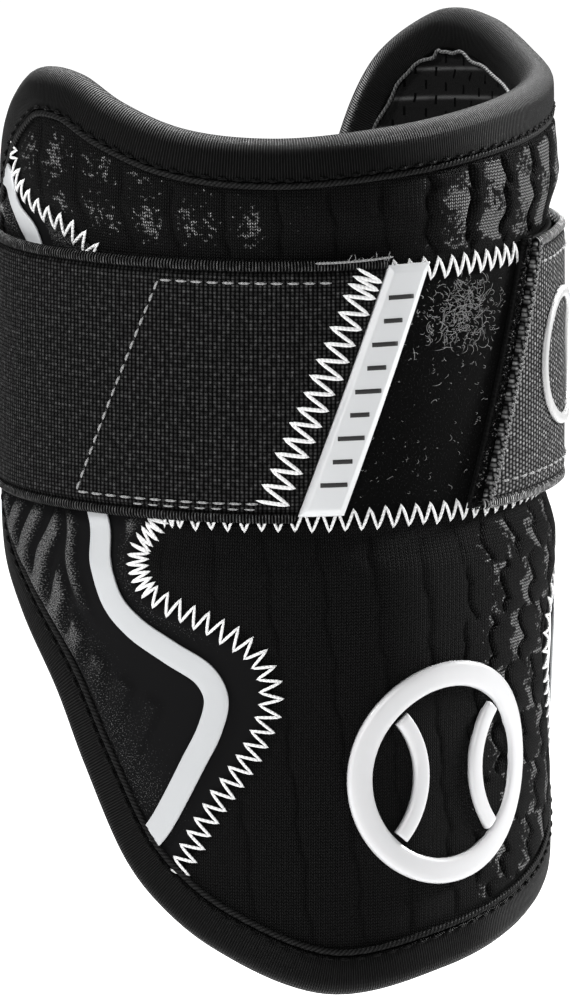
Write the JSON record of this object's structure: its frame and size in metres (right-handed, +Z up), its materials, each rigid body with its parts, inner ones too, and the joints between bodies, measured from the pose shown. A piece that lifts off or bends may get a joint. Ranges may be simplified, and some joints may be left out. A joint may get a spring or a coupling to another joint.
{
  "type": "baseball elbow guard",
  "caption": "Padded wrap-round elbow guard with a bound rim, an open back and an elastic strap that closes on a loop band.",
  "frame": {"origin": "on the arm's axis at the middle of the strap's width", "axes": "+Z up the arm towards the shoulder, -Y towards the guarded side of the elbow, +X to the right as seen from that side"},
  "size_m": [0.1129, 0.1087, 0.1813],
  "materials": {
    "side_fabric": "embossed matte fabric with a grazing sheen",
    "knit": "ribbed matte knit",
    "loop_pile": "brushed loop pile",
    "lining_mesh": "matte slotted mesh",
    "binding_tape": "matte cross-ribbed tape",
    "webbing": "woven elastic",
    "hook": "moulded hooks",
    "stripe_film": "flat white film",
    "label_plastic": "glossy white",
    "badge_plastic": "glossy white",
    "ring_rubber": "satin grey"
  },
  "bodies": {
    "root": {"side_panel_left": "side_fabric", "side_panel_right": "side_fabric", "upper_panel": "knit", "loop_band": "loop_pile", "lower_panel": "knit", "lining": "lining_mesh", "edge_binding": "binding_tape", "strap": "webbing", "hook_strip": "hook", "strap_label": "label_plastic", "stripe_left": "stripe_film", "stripe_right": "stripe_film", "emblem_ring": "badge_plastic", "emblem_seam_left": "badge_plastic", "emblem_seam_right": "badge_plastic", "tab_ring": "ring_rubber"}
  },
  "joints": []
}
